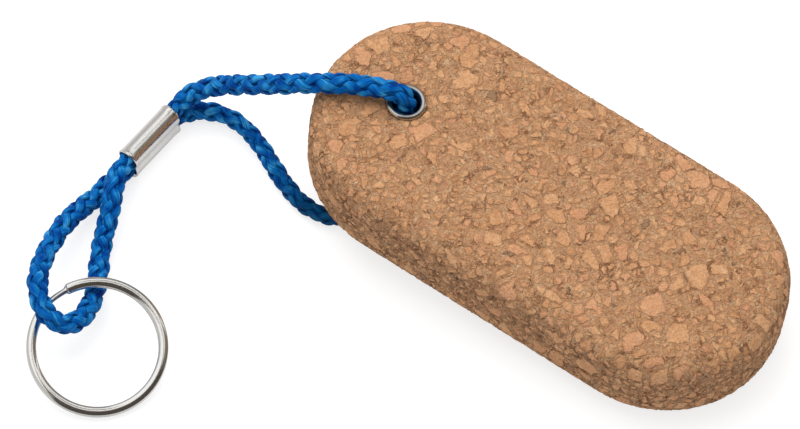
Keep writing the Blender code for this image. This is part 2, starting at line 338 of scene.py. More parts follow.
def mesh_object(name, points, faces, caps=()):
    """A smooth mesh object from arrays of points and quads, with a few larger faces as caps."""
    mesh = bpy.data.meshes.new(name)
    mesh.from_pydata(points.tolist(), [], faces.tolist() + [list(cap) for cap in caps])
    mesh.shade_smooth()
    mesh.update()
    item = bpy.data.objects.new(name, mesh)
    bpy.context.scene.collection.objects.link(item)
    return item


# %% The whole braid
def braid():
    """All the strands and the core as one mesh, with each point's place on its strand kept for the fibres."""
    pitch = BRAID_PITCH * (1 + slow_wave(cord_runs, *PITCH_WAVE))
    turns = np.concatenate([[0.0], np.cumsum(np.diff(cord_runs) * math.tau / pitch[1:])])
    twist = slow_wave(cord_runs, *TWIST_WAVE)
    starts = [math.tau * k / STRANDS_EACH_WAY for k in range(STRANDS_EACH_WAY)]
    tubes = [strand_rings(start, hand, turns, twist) for hand in (1, -1) for start in starts]
    tubes.append(core_rings())
    points, fibres, faces, caps, first = [], [], [], [], 0
    for rings, fibre in tubes:
        sides = rings.shape[1]
        points.append(rings.reshape(-1, 3))
        fibres.append(fibre.reshape(-1, 3))
        faces.append(tube_faces(STRAND_STATIONS, sides, first, closed=False))
        caps += tube_caps(STRAND_STATIONS, sides, first)
        first += STRAND_STATIONS * sides
    item = mesh_object("cord_braid", np.concatenate(points), np.concatenate(faces), caps)
    place = item.data.attributes.new("fibre", "FLOAT_VECTOR", "POINT")
    place.data.foreach_set("vector", np.concatenate(fibres).astype(np.float32).ravel())
    return item


cord_piece = braid()
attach(cord_piece, "keyring")
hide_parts("cord")
print("braid of", len(cord_piece.data.polygons), "faces")

# %% [markdown]
# ## Blue braid material
# The yarn is blue plastic filament with little gloss. The material paints three things. Fine lines of
# filament run along each strand: they come from noise that is stretched along the strand, read from the place
# that each point was given while the braid was made. The two edges of a strand, where it dives under its
# neighbours, get painted shade: a deeper blue, for the shade in the gaps between strands. And the run that
# lies in the shade of the tag eases darker along the cord, because little light comes back up there.
#
# Node trees are long to write out, so a few helpers make the nodes: each takes numbers or other nodes'
# sockets, and gives back the socket that the next one needs.


# %% Helpers for nodes
def new_material(name, colour, roughness, metallic=0.0):
    """A material, its node tree and its shader."""
    made = bpy.data.materials.new(name)
    made.use_nodes = True
    shader = made.node_tree.nodes["Principled BSDF"]
    shader.inputs["Base Color"].default_value = (*colour, 1.0)
    shader.inputs["Roughness"].default_value = roughness
    shader.inputs["Metallic"].default_value = metallic
    return made, made.node_tree, shader


def feed(tree, socket, value):
    """Link another node's socket to this one, or set it to a plain value."""
    if isinstance(value, bpy.types.NodeSocket):
        tree.links.new(value, socket)
    else:
        socket.default_value = value


def add_node(tree, kind, settings=(), **inputs):
    """A node with its settings, and its named inputs fed."""
    node = tree.nodes.new(kind)
    for key, value in dict(settings).items():
        setattr(node, key, value)
    for key, value in inputs.items():
        feed(tree, node.inputs[key.replace("_", " ")], value)
    return node


def maths(tree, operation, *values, clamp=False):
    """One Math node."""
    node = add_node(tree, "ShaderNodeMath", {"operation": operation, "use_clamp": clamp})
    for socket, value in zip(node.inputs, values):
        feed(tree, socket, value)
    return node.outputs[0]


def scaled(tree, value, by, plus, clamp=False):
    """The value times one number plus another, which is how most shares are stretched to fit."""
    return maths(tree, "MULTIPLY_ADD", value, by, plus, clamp=clamp)


def times(tree, first, second):
    return maths(tree, "MULTIPLY", first, second)


def vector_maths(tree, operation, *values, out=0):
    """One Vector Math node."""
    node = add_node(tree, "ShaderNodeVectorMath", {"operation": operation})
    for socket, value in zip([s for s in node.inputs if s.enabled], values):
        feed(tree, socket, value)
    return node.outputs[out]


def apart(tree, vector):
    """The three numbers of a vector or a colour."""
    return add_node(tree, "ShaderNodeSeparateXYZ", Vector=vector).outputs


# %% Helpers for noise and colour
def noise(tree, where, scale, detail, out="Fac", **others):
    """Soft noise from 0 to 1; the scale is how many of its bumps lie along a metre."""
    node = add_node(tree, "ShaderNodeTexNoise", Vector=where, Scale=scale, Detail=detail, **others)
    return node.outputs[out]


def blended(tree, share, first, second):
    """Mix of two colours, each a colour or a socket."""
    node = add_node(tree, "ShaderNodeMix", {"data_type": "RGBA"})
    for name, value in (("Factor", share), ("A", first), ("B", second)):
        socket = next(s for s in node.inputs if s.name == name and s.enabled)
        feed(tree, socket, (*value, 1.0) if isinstance(value, tuple) else value)
    return next(s for s in node.outputs if s.enabled)


def ramp(tree, share, stops):
    """A colour ramp with (place, colour) stops."""
    node = add_node(tree, "ShaderNodeValToRGB", Fac=share)
    points = node.color_ramp.elements
    while len(points) < len(stops):
        points.new(0.5)
    for point, (place, colour) in zip(points, stops):
        point.position = place
        point.color = (*colour, 1.0)
    return node.outputs[0]


def bumped(tree, shader, height, strength, distance):
    """Send a height to the shader's normal."""
    bump = add_node(tree, "ShaderNodeBump", Strength=strength, Distance=distance, Height=height)
    tree.links.new(bump.outputs["Normal"], shader.inputs["Normal"])


# %% Blue braid
BLUES = [
    (0.00, (0.0, 0.018, 0.15)),
    (0.36, (0.0, 0.074, 0.31)),
    (0.66, (0.004, 0.142, 0.41)),
    (1.00, (0.045, 0.300, 0.58)),
]
SHADED_BLUE = (0.0, 0.030, 0.075)
SHADED_FROM = 92 * MM
SHADED_TO = 130 * MM
SHADED_EASE = 14 * MM
# Painted shade: the deeper blue that each strand's two edges are darkened to, where it dives under its neighbours.
STRAND_EDGE_SHADE_BLUE = (0.0, 0.010, 0.11)
EDGE_FROM = 0.6 * MM
EDGE_EASE = 0.4 * MM
FIBRE_STRETCH = (7000.0, 240.0, 37.0)


def braid_material():
    made, tree, shader = new_material("blue_braid", (0.0, 0.12, 0.42), 0.55)
    shader.inputs["Specular IOR Level"].default_value = 0.05
    place = add_node(tree, "ShaderNodeAttribute", {"attribute_name": "fibre"}).outputs["Vector"]
    drawn_out = vector_maths(tree, "MULTIPLY", place, FIBRE_STRETCH)
    lines = noise(tree, drawn_out, 1.0, 3.0, Roughness=0.6)
    patches = noise(tree, place, 330.0, 2.0)
    both = scaled(tree, lines, 0.55, times(tree, patches, 0.75))
    colour = ramp(tree, scaled(tree, both, 2.9, -1.38, clamp=True), BLUES)
    across, along, _ = apart(tree, place)
    middle, half = (SHADED_FROM + SHADED_TO) / 2, (SHADED_TO - SHADED_FROM) / 2
    off = maths(tree, "ABSOLUTE", maths(tree, "SUBTRACT", along, middle))
    shaded = scaled(tree, off, -1 / SHADED_EASE, half / SHADED_EASE + 0.5, clamp=True)
    colour = blended(tree, times(tree, shaded, 0.78), colour, SHADED_BLUE)
    # Painted shade: near both edges of a strand the colour is darkened towards that blue.
    edge = maths(tree, "ABSOLUTE", across)
    edge_shade = scaled(tree, edge, 1 / EDGE_EASE, -EDGE_FROM / EDGE_EASE, clamp=True)
    colour = blended(tree, times(tree, edge_shade, 0.5), colour, STRAND_EDGE_SHADE_BLUE)
    tree.links.new(colour, shader.inputs["Base Color"])
    bumped(tree, shader, lines, 0.45, 0.14 * MM)
    return made


cord_piece.data.materials.append(braid_material())
print("blue tones of the braid:", len(BLUES))

# %% [markdown]
# ## The cork tag: where it lies
# The tag lies nearly flat. Its two flat faces are named in the record, and the eyelets sit on its long axis,
# so its middle and its three directions are read from the frame. The cork's pattern is read from where each
# point lies.

# %% Place of the tag
faces_of_tag = {face["name"]: face for face in frame["record"]["mounts"]}
upper_face, under_face = faces_of_tag["upper_face"], faces_of_tag["under_face"]
tag_up = Vector(upper_face["axis"]).normalized()
tag_middle = (Vector(upper_face["pos_m"]) + Vector(under_face["pos_m"])) / 2
eyelet_corners = [corner for side in ("eyelet_front", "eyelet_back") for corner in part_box(side)]
hole_middle = sum(eyelet_corners, Vector()) / len(eyelet_corners)
tag_long = tag_middle - hole_middle
tag_long = tag_long - tag_long.dot(tag_up) * tag_up
hole_distance = tag_long.length
tag_long.normalize()
tag_side = tag_up.cross(tag_long)
tag_place = Matrix((tag_long, tag_side, tag_up)).transposed().to_4x4()
tag_place.translation = tag_middle
print("the hole is", hole_distance, "from the tag's middle")

# %% [markdown]
# ## The grain of pressed cork
# Pressed cork is chopped bark, sieved to grains of about 1 to 6 mm and glued under pressure. Each grain keeps
# the tone of the bark that it came from, and thin dark gaps stay where grains don't meet. Voronoi cells have
# just this form. Three sizes of cell are used: some large cells are one grain each, some middle ones fill the
# places between, and the rest is crumb. A slow noise bends all the borders, and a fine one frays them.
#
# The same nodes work in a material and in geometry nodes. One function builds them in either tree, so that
# the hollows in the mesh lie exactly under the dark lines of the colour.

# %% Sizes and tones of the grains
GRAIN_SIZES = {"large": 4.4 * MM, "middle": 2.0 * MM, "crumb": 0.85 * MM}
GRAIN_MARGIN = {"large": (0.12 * MM, 2.0 * MM), "middle": (0.0, 0.34 * MM), "crumb": (0.0, 0.0)}
GRAIN_TONES = {"large": (0.36, 0.28), "middle": (0.28, 0.40), "crumb": (0.54, 0.44)}
GRAIN_BENDS = [(560.0, 4.0, 0.62, 2.1 * MM), (2100.0, 2.0, 0.5, 0.55 * MM)]


def bent_place(tree, where):
    """The place moved about by a slow and a fine noise, so that cell borders bend and fray."""
    bent = where
    for scale, detail, roughness, reach in GRAIN_BENDS:
        wave = noise(tree, where, scale, detail, out="Color", Roughness=roughness)
        way = vector_maths(tree, "SUBTRACT", wave, (0.5, 0.5, 0.5))
        bent = vector_maths(tree, "MULTIPLY_ADD", way, (reach,) * 3, bent)
    return bent


def cells(tree, where, size, feature):
    """A Voronoi node of cells of that size."""
    return add_node(tree, "ShaderNodeTexVoronoi", {"feature": feature}, Vector=where, Scale=1 / size)


def either(tree, mask, first, second):
    """The second value where the mask is 1, and the first where it is 0."""
    return add_node(tree, "ShaderNodeMix", Factor=mask, A=first, B=second).outputs[0]


# %% Grain nodes, for a material or for geometry nodes
def grain(tree, where):
    """A grain's tone and its own chance, how far inside its border a point is, and 1 in the crumb."""
    bent = bent_place(tree, where)
    tone, chance, inside = {}, {}, {}
    for name, size in GRAIN_SIZES.items():
        edge = cells(tree, bent, size, "DISTANCE_TO_EDGE").outputs["Distance"]
        random = apart(tree, cells(tree, bent, size, "F1").outputs["Color"])
        least, spread = GRAIN_TONES[name]
        tone[name] = scaled(tree, random[0], spread, least)
        chance[name] = random[1]
        least, spread = GRAIN_MARGIN[name]
        margin = scaled(tree, random[2], spread, least)
        inside[name] = maths(tree, "SUBTRACT", times(tree, edge, size), margin)
    is_large = maths(tree, "GREATER_THAN", inside["large"], 0.0)
    is_middle = maths(tree, "GREATER_THAN", inside["middle"], 0.0)
    off_large = times(tree, inside["large"], -1.0)
    off_middle = times(tree, inside["middle"], -1.0)
    in_middle = maths(tree, "MINIMUM", inside["middle"], off_large)
    in_crumb = maths(tree, "MINIMUM", maths(tree, "MINIMUM", inside["crumb"], off_middle), off_large)
    small_tone = either(tree, is_middle, tone["crumb"], tone["middle"])
    small_chance = either(tree, is_middle, chance["crumb"], chance["middle"])
    small_inside = either(tree, is_middle, in_crumb, in_middle)
    solid = maths(tree, "MAXIMUM", is_large, is_middle)
    return (
        either(tree, is_large, small_tone, tone["large"]),
        either(tree, is_large, small_chance, chance["large"]),
        either(tree, is_large, small_inside, inside["large"]),
        maths(tree, "SUBTRACT", 1.0, solid),
    )


# %% [markdown]
# ## The cork tag: its mesh
# The solid is copied and remeshed into small even faces. Geometry nodes then push each point along its
# normal. Grains stand at slightly different heights, their borders sink, and the rounded rim, where the
# cutter tears grains out, is pitted more than the two sawn faces.

# %% Tag mesh in even faces
TAG_FACE_SIZE = 0.44 * MM


def remeshed(name, source, size):
    """A copy of a solid with small even faces."""
    mesh = source.data.copy()
    mesh.materials.clear()
    item = bpy.data.objects.new(name, mesh)
    bpy.context.scene.collection.objects.link(item)
    even = item.modifiers.new("even faces", "REMESH")
    even.mode = "VOXEL"
    even.voxel_size = size
    even.use_smooth_shade = True
    return item


def applied(item):
    """Replace the object's mesh by what its modifiers make of it."""
    bpy.context.view_layer.update()
    seen = item.evaluated_get(bpy.context.evaluated_depsgraph_get())
    mesh = bpy.data.meshes.new_from_object(seen)
    item.modifiers.clear()
    item.data = mesh
    return item


tag = applied(remeshed("cork_tag", frame["nodes"]["cork_float"], TAG_FACE_SIZE))
print("even faces of the tag", len(tag.data.polygons))

# %% Relief of the grains
GROOVE_WIDTH = 0.34 * MM
GROOVE_DEPTH = 0.15 * MM
GRAIN_STEP = 0.05 * MM
RUBBLE_HEIGHT = 0.45 * MM
TORN_DEPTH = 0.16 * MM
TORN_ABOVE = 0.80
RIM_GAIN = 1.5


def relief_height(tree, where, normal):
    """How far a point moves out: grooves, rubble in the crumb, and torn grains at the rim."""
    tone, chance, inside, crumbly = grain(tree, where)
    upright = vector_maths(tree, "DOT_PRODUCT", normal, tuple(tag_up), out=1)
    rim = maths(tree, "SUBTRACT", 1.0, maths(tree, "ABSOLUTE", upright), clamp=True)
    groove = maths(tree, "SUBTRACT", 1.0, maths(tree, "DIVIDE", inside, GROOVE_WIDTH, clamp=True))
    groove = times(tree, groove, scaled(tree, chance, 0.9, 0.1))
    lumps = maths(tree, "SUBTRACT", noise(tree, where, 1100.0, 3.0), 0.55)
    torn = times(tree, maths(tree, "GREATER_THAN", chance, TORN_ABOVE), rim)
    height = times(tree, maths(tree, "SUBTRACT", tone, 0.6), GRAIN_STEP)
    height = scaled(tree, groove, -GROOVE_DEPTH, height)
    height = scaled(tree, times(tree, lumps, crumbly), RUBBLE_HEIGHT, height)
    height = times(tree, height, scaled(tree, rim, RIM_GAIN, 1.0))
    return scaled(tree, torn, -TORN_DEPTH, height)


def grain_relief():
    """Geometry nodes that move each point of a mesh along its normal by the relief."""
    tree = bpy.data.node_groups.new("grain relief", "GeometryNodeTree")
    tree.interface.new_socket("Geometry", in_out="INPUT", socket_type="NodeSocketGeometry")
    tree.interface.new_socket("Geometry", in_out="OUTPUT", socket_type="NodeSocketGeometry")
    start = tree.nodes.new("NodeGroupInput")
    end = tree.nodes.new("NodeGroupOutput")
    where = tree.nodes.new("GeometryNodeInputPosition").outputs[0]
    normal = tree.nodes.new("GeometryNodeInputNormal").outputs[0]
    offset = vector_maths(tree, "MULTIPLY", normal, relief_height(tree, where, normal))
    move = add_node(tree, "GeometryNodeSetPosition", Geometry=start.outputs[0], Offset=offset)
    tree.links.new(move.outputs[0], end.inputs[0])
    return tree


tag.modifiers.new("grain relief", "NODES").node_group = grain_relief()
applied(tag)
tag.data.shade_smooth()
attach(tag, "keyring")
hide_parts("cork_float")
print("tag of", len(tag.data.polygons), "faces")

# %% [markdown]
# ## Cork material
# Most grains are a warm tan, some are paler or pinker, a few are brown and the odd one is a grey chip of
# outer bark. A ramp turns the tone of a grain into its colour, and the rest is mixed over it: soft clouds,
# small dark and light flecks, and dark crevices that come and go along the borders. The crumb and the rim
# that the cutter tore are the roughest, so they get more flecks than the smooth large grains do.

# %% Colour of the grains
CORK_TONES = [
    (0.00, (0.36, 0.165, 0.073)),
    (0.20, (0.53, 0.252, 0.116)),
    (0.45, (0.63, 0.318, 0.152)),
    (0.70, (0.685, 0.370, 0.186)),
    (0.90, (0.745, 0.432, 0.232)),
    (1.00, (0.81, 0.52, 0.30)),
]
PINK_CORK = (0.66, 0.305, 0.170)
PINK_ABOVE = 0.76
OUTER_BARK = (0.20, 0.115, 0.068)
BARK_BELOW = 0.014
WORN_CORK = (0.44, 0.205, 0.095)


def grain_colour(tree, where, tone, chance):
    """Each grain's own colour with soft clouds in it, and broad worn patches over them all."""
    clouds = scaled(tree, noise(tree, where, 720.0, 3.0), 1.1, -0.55)
    colour = ramp(tree, maths(tree, "ADD", tone, clouds), CORK_TONES)
    pinker = times(tree, maths(tree, "GREATER_THAN", chance, PINK_ABOVE), 0.38)
    colour = blended(tree, pinker, colour, PINK_CORK)
    bark = times(tree, maths(tree, "LESS_THAN", chance, BARK_BELOW), 0.75)
    colour = blended(tree, bark, colour, OUTER_BARK)
    worn = scaled(tree, noise(tree, where, 190.0, 2.0), 2.0, -0.55, clamp=True)
    return blended(tree, times(tree, worn, 0.16), colour, WORN_CORK)


# %% Specks on the grains
DARK_SPECK = (0.20, 0.082, 0.034)
LIGHT_FLECK = (0.86, 0.60, 0.38)


def rim_share(tree):
    """0 on the two sawn faces and 1 on the rounded rim, from which way the surface points."""
    facing = tree.nodes.new("ShaderNodeNewGeometry").outputs["Normal"]
    upright = vector_maths(tree, "DOT_PRODUCT", facing, tuple(tag_up), out=1)
    return scaled(tree, maths(tree, "ABSOLUTE", upright), -1.6, 1.45, clamp=True)


def speckled(tree, where, colour, rough):
    """The colour with specks and flecks, more of them where it is rough, and both of their noises."""
    mottle = noise(tree, where, 1900.0, 3.0, Roughness=0.7)
    specks = scaled(tree, mottle, -8.0, 3.7, clamp=True)
    colour = blended(tree, times(tree, specks, scaled(tree, rough, 0.46, 0.36)), colour, DARK_SPECK)
    flecks = scaled(tree, noise(tree, where, 2700.0, 2.0, Roughness=0.7), 9.0, -4.9, clamp=True)
    colour = blended(tree, times(tree, flecks, scaled(tree, rough, 0.20, 0.42)), colour, LIGHT_FLECK)
    return colour, mottle, flecks


# %% Crevices, and the finished cork
CREVICE = (0.16, 0.060, 0.024)
CREVICE_WIDTH = 0.24 * MM


def crevices(tree, where, inside, crumbly, rim):
    """The line along the grains' borders, and how dark it is: in some places it fades out."""
    line = maths(tree, "SUBTRACT", 1.0, maths(tree, "DIVIDE", inside, CREVICE_WIDTH, clamp=True))
    broken = scaled(tree, noise(tree, where, 420.0, 2.0), 11.0, -5.9, clamp=True)
    depth = times(tree, scaled(tree, broken, 0.88, 0.03), scaled(tree, crumbly, -0.55, 1.0))
    depth = scaled(tree, rim, 0.22, depth, clamp=True)
    return line, times(tree, line, depth)


def cork_material():
    made, tree, shader = new_material("pressed_cork", (0.59, 0.31, 0.16), 0.88)
    shader.inputs["Specular IOR Level"].default_value = 0.2
    where = tree.nodes.new("ShaderNodeTexCoord").outputs["Object"]
    tone, chance, inside, crumbly = grain(tree, where)
    rim = rim_share(tree)
    rough = scaled(tree, crumbly, 0.10, rim, clamp=True)
    colour = grain_colour(tree, where, tone, chance)
    colour, mottle, flecks = speckled(tree, where, colour, rough)
    line, dark = crevices(tree, where, inside, crumbly, rim)
    tree.links.new(blended(tree, dark, colour, CREVICE), shader.inputs["Base Color"])
    rise = scaled(tree, flecks, 0.35, scaled(tree, line, -0.8, mottle))
    bumped(tree, shader, rise, 1.0, 0.45 * MM)
    return made


tag.data.materials.append(cork_material())
print("nodes of the cork material:", len(tag.data.materials[0].node_tree.nodes))

# %% [markdown]
# ## Eyelets
# An eyelet is a short tube of plated sheet whose end is rolled over outwards into a round lip. It is a solid
# of revolution, so its section is drawn once and carried round. The inner side runs up the bore and over the
# lip, and the outer side follows it one sheet thickness away. The place and the tilt are the tag's.

# %% Shapes drawn as a section
EYELET_BORE = 5.9 * MM
EYELET_SHEET = 0.35 * MM
EYELET_ROLL = 0.55 * MM
EYELET_ROLL_END = -15
EYELET_BARREL = 6.0 * MM
EYELET_SEAT = 10.25 * MM
EYELET_SEGMENTS = 128


def arc(centre, radius, start, end, steps):
    """Points on an arc in the plane, both ends included; angles in degrees."""
    angles = np.radians(np.linspace(start, end, steps + 1))
    return [(centre[0] + radius * math.cos(a), centre[1] + radius * math.sin(a)) for a in angles]


def lathe(name, section, segments):
    """Solid of revolution about Z from a closed section of (radius, height) points."""
    radius, height = np.array(section).T
    angles = np.arange(segments)[:, None] * math.tau / segments
    rows = np.broadcast_arrays(np.cos(angles) * radius, np.sin(angles) * radius, height)
    points = np.stack(rows, axis=-1).reshape(-1, 3)
    return mesh_object(name, points, tube_faces(segments, len(section), 0, closed=True))


def eyelet_section():
    half = EYELET_SHEET / 2
    roll = (EYELET_BORE / 2 + half + EYELET_ROLL, 0.0)
    inner = arc(roll, EYELET_ROLL + half, 180, EYELET_ROLL_END, 18)
    outer = arc(roll, EYELET_ROLL - half, EYELET_ROLL_END, 180, 10)
    barrel = EYELET_BORE / 2 + EYELET_SHEET
    foot = [(barrel, -EYELET_BARREL), (EYELET_BORE / 2, -EYELET_BARREL)]
    return inner + outer + foot


# %% Eyelets
def metal_material(name, colour, roughness, scratch):
    """Plated metal: a little uneven in gloss, with fine marks of handling."""
    made, tree, shader = new_material(name, colour, roughness, metallic=1.0)
    where = tree.nodes.new("ShaderNodeTexCoord").outputs["Object"]
    clouds = noise(tree, where, 350.0, 4.0, Roughness=0.6)
    marks = noise(tree, where, 2600.0, 3.0, Distortion=1.5)
    tree.links.new(scaled(tree, clouds, 0.22, roughness - 0.08), shader.inputs["Roughness"])
    bumped(tree, shader, scaled(tree, marks, 0.4, clouds), scratch, 0.05 * MM)
    return made


eyelet_metal = metal_material("nickel_plate", (0.60, 0.565, 0.51), 0.18, 0.25)
for side, flip in (("front", 0.0), ("back", math.pi)):
    piece = lathe(f"eyelet_{side}_rim", eyelet_section(), EYELET_SEGMENTS)
    seat = Matrix.Translation((-hole_distance, 0.0, 0.0)) @ Matrix.Rotation(flip, 4, "X")
    piece.data.transform(tag_place @ seat @ Matrix.Translation((0.0, 0.0, EYELET_SEAT)))
    piece.data.materials.append(eyelet_metal)
    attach(piece, "keyring")
    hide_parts(f"eyelet_{side}")
    print(piece.name, "of", len(piece.data.polygons), "faces")

# %% [markdown]
# ## The ferrule
# The sleeve is a short length of oval tube, squeezed between dies until it grips both runs of the cord. The
# squeeze leaves a round lobe along each run and a hollow waist between them, like a figure of eight. The
# section is drawn from arcs that meet smoothly, and carried along the sleeve. The mouths flare a little, and
# dip in where the waist was pushed, as the metal there has the furthest to go.

# %% Section of the ferrule
FERRULE_WALL = 0.45 * MM
FERRULE_WAIST_RADIUS = 2.0 * MM
FERRULE_FLARE = 0.2 * MM
FERRULE_MOUTH_DIP = 0.35 * MM
FERRULE_LIP = 0.12 * MM
FERRULE_LIP_LENGTH = 0.05 * MM
MOUTH_FLARES = [
    (0.0, 1.0),
    (0.3 * MM, 0.8),
    (0.7 * MM, 0.42),
    (1.2 * MM, 0.15),
    (1.8 * MM, 0.04),
    (2.4 * MM, 0.0),
]
LANE_RADIUS = 2.0 * MM
LANE_OFFSET = 1.85 * MM


def ferrule_outline(grow):
    """Figure of eight, grown outwards from the cord by that much."""
    lobe = LANE_RADIUS + grow
    waist = FERRULE_WAIST_RADIUS + FERRULE_WALL - grow
    waist_x = math.sqrt((lobe + waist) ** 2 - LANE_OFFSET**2)
    lean = math.degrees(math.atan2(LANE_OFFSET, waist_x))
    right = arc((waist_x, 0), waist, 180 + lean, 180 - lean, 10)
    top = arc((0, LANE_OFFSET), lobe, -lean, 180 + lean, 36)
    half = right[:-1] + top[:-1]
    return np.array(half + [(-x, -z) for x, z in half])


def ferrule_ring(along, flare, grow):
    """One ring of the sleeve: its outline at a place along it."""
    outline = ferrule_outline(grow + flare * FERRULE_FLARE)
    height = LANE_OFFSET + LANE_RADIUS + FERRULE_WALL + FERRULE_FLARE
    dip = FERRULE_MOUTH_DIP * flare * (1 - (outline[:, 1] / height) ** 2)
    return np.column_stack([along - np.copysign(dip, along), outline])


# %% Ferrule
def ferrule_piece():
    """The sleeve's outside and inside as one closed band of rings, with a lip at each mouth."""
    half = FERRULE_LENGTH / 2
    right = [(half - depth, flare) for depth, flare in MOUTH_FLARES] + [(half / 3, 0.0)]
    stations = [(-x, flare) for x, flare in right] + right[::-1]
    lips = [FERRULE_LIP if abs(x) == half else 0.0 for x, flare in stations]
    outside = [ferrule_ring(x, flare, FERRULE_WALL - lip) for (x, flare), lip in zip(stations, lips)]
    inside = [ferrule_ring(x, flare, lip) for (x, flare), lip in zip(stations, lips)][::-1]
    for mouth in (outside[0], outside[-1], inside[0], inside[-1]):
        mouth[:, 0] += np.copysign(FERRULE_LIP_LENGTH, mouth[:, 0])
    rings = outside + inside
    faces = tube_faces(len(rings), len(rings[0]), 0, closed=True)
    return mesh_object("ferrule_sleeve", np.concatenate(rings), faces[:, ::-1])


ferrule = ferrule_piece()
ferrule.data.transform(Matrix.Translation(ferrule_middle) @ Matrix.Rotation(FERRULE_TURN, 4, "Z"))
ferrule.data.materials.append(metal_material("plated_sleeve", (0.90, 0.885, 0.86), 0.18, 0.3))
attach(ferrule, "keyring")
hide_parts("ferrule")
print("ferrule of", len(ferrule.data.polygons), "faces")

# %% [markdown]
# ## The split ring
# A key ring is two turns of flat wire, pressed together. The wire is rolled to the section of a flat lens,
# and its top falls away on both sides of a soft ridge, so that it mirrors several bands at once. Half way,
# the wire has to step from the upper turn to the lower one. That step lies in the gap between the two free
# ends, and the wire is pinched narrower there. The wire's centre is a circle whose height eases down in the
# step, and its section is carried along it. The ring's centre and axis are those of its joint.

# %% Place and section of the split ring
RING_DIAMETER = 30.0 * MM
RING_HIGH_SIDE = math.radians(105)
RING_STATIONS = 520
WIRE_WIDTH = 2.1 * MM
WIRE_THICKNESS = 1.1 * MM
WIRE_SQUARENESS = 1.75
WIRE_SIDES = 32

ring_joint = next(joint for joint in frame["joints"] if joint["name"] == "ring_spin")
ring_axis = Vector(ring_joint["axis"]).normalized()
level_side = Vector((-math.sin(RING_HIGH_SIDE), math.cos(RING_HIGH_SIDE), 0.0))
ring_place = Matrix((level_side.cross(ring_axis), level_side, ring_axis)).transposed().to_4x4()
ring_place.translation = ring_joint["pos_m"]
print("the ring turns about", tuple(ring_axis))


def wire_section():
    """Flat wire, as (radial, axial) offsets from its centre: an oval drawn a little towards a lens."""
    turned = np.arange(WIRE_SIDES) * math.tau / WIRE_SIDES
    across, up = np.cos(turned), np.sin(turned)
    power = 2 / WIRE_SQUARENESS
    across = np.copysign(np.abs(across) ** power, across) * WIRE_WIDTH / 2
    up = np.copysign(np.abs(up) ** power, up) * WIRE_THICKNESS / 2
    return np.column_stack([across, up])


# %% Split ring
TURN_GAP = 0.15 * MM
STEP_ANGLE = math.radians(26)
STEP_PINCH = 0.40
PINCH_EASE_IN = 0.4
PINCH_EASE_OUT = (1.03, 0.06)
END_GAP_ANGLE = math.radians(1.5)
FREE_END_ANGLE = math.radians(15)
END_SIZE = 0.80
END_ROUNDING = 0.35 * MM


def ring_piece():
    """Two turns of the wire, its ends rounded off, with the step from the upper turn to the lower one."""
    section = wire_section()
    first = END_GAP_ANGLE / 2
    last = 2 * math.tau - STEP_ANGLE - END_GAP_ANGLE / 2
    run = np.linspace(first, last, RING_STATIONS)
    middle = (RING_DIAMETER - WIRE_WIDTH) / 2
    from_end = np.minimum(run - first, last - run) * middle
    full = END_SIZE + (1 - END_SIZE) * np.sqrt(np.clip(from_end / END_ROUNDING, 0, 1))
    into_step = (run - math.tau + STEP_ANGLE) / STEP_ANGLE
    level = (WIRE_THICKNESS + TURN_GAP) / 2 * (1 - 2 * eased(into_step))
    out_at, out_over = PINCH_EASE_OUT
    pinch = eased(into_step / PINCH_EASE_IN) * eased((out_at - into_step) / out_over)
    radius = middle + (full * (1 - STEP_PINCH * pinch))[:, None] * section[:, 0]
    angle = (FREE_END_ANGLE - run)[:, None]
    height = level[:, None] + full[:, None] * section[:, 1]
    points = np.stack([radius * np.cos(angle), radius * np.sin(angle), height], axis=-1).reshape(-1, 3)
    faces = tube_faces(RING_STATIONS, WIRE_SIDES, 0, closed=False)
    return mesh_object("ring_wire", points, faces, tube_caps(RING_STATIONS, WIRE_SIDES, 0))


ring = ring_piece()
ring.data.transform(ring_place)
ring.data.materials.append(metal_material("nickel_steel", (0.88, 0.865, 0.835), 0.12, 0.22))
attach(ring, "ring")
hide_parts("split_ring")
print("ring wire of", len(ring.data.polygons), "faces")

# %% [markdown]
# ## The table, the air and the lamp
# The picture is a shop photograph on white. A pale floor carries the soft shadow, and the air is white. One
# wide lamp hangs high behind the object, so the tops are bright and the sides that face the camera are half
# as bright. The camera sees the floor glow up to white, and the shadow stays on it.

# %% Table
FLOOR_SIZE = 6.0
FLOOR_WHITE = (0.90, 0.90, 0.90)
FLOOR_SHADE = (0.34, 0.34, 0.34)
FLOOR_GLOW = 0.74
MIRRORED_LOSS = 0.60
FRONT_SHADE_IN_MIRRORS = 0.28
NEAR_FROM = -42 * MM
NEAR_EASE = 14 * MM


def seen_directly_or_mirrored(tree):
    """1 for the camera and for mirrored light, 0 for soft light."""
    ray = tree.nodes.new("ShaderNodeLightPath")
    mirrored = ray.outputs["Is Glossy Ray"]
    return maths(tree, "MAXIMUM", ray.outputs["Is Camera Ray"], mirrored), mirrored


def floor_material():
    """Pale floor that the camera sees as white, and the metal as a grey, with painted shade that dims it towards
    the front.
    """
    made, tree, shader = new_material("white_floor", FLOOR_WHITE, 0.9)
    seen, mirrored = seen_directly_or_mirrored(tree)
    tree.links.new(blended(tree, seen, FLOOR_WHITE, FLOOR_SHADE), shader.inputs["Base Color"])
    place = apart(tree, tree.nodes.new("ShaderNodeNewGeometry").outputs["Position"])
    # Painted shade: in reflections the floor grows darker towards the camera side.
    near = scaled(tree, place[1], -1 / NEAR_EASE, NEAR_FROM / NEAR_EASE, clamp=True)
    dim = times(tree, scaled(tree, near, FRONT_SHADE_IN_MIRRORS, MIRRORED_LOSS), mirrored)
    glow = times(tree, seen, scaled(tree, dim, -FLOOR_GLOW, FLOOR_GLOW))
    tree.links.new(glow, shader.inputs["Emission Strength"])
    shader.inputs["Emission Color"].default_value = (1.0, 1.0, 1.0, 1.0)
    shader.inputs["Specular IOR Level"].default_value = 0.0
    return made


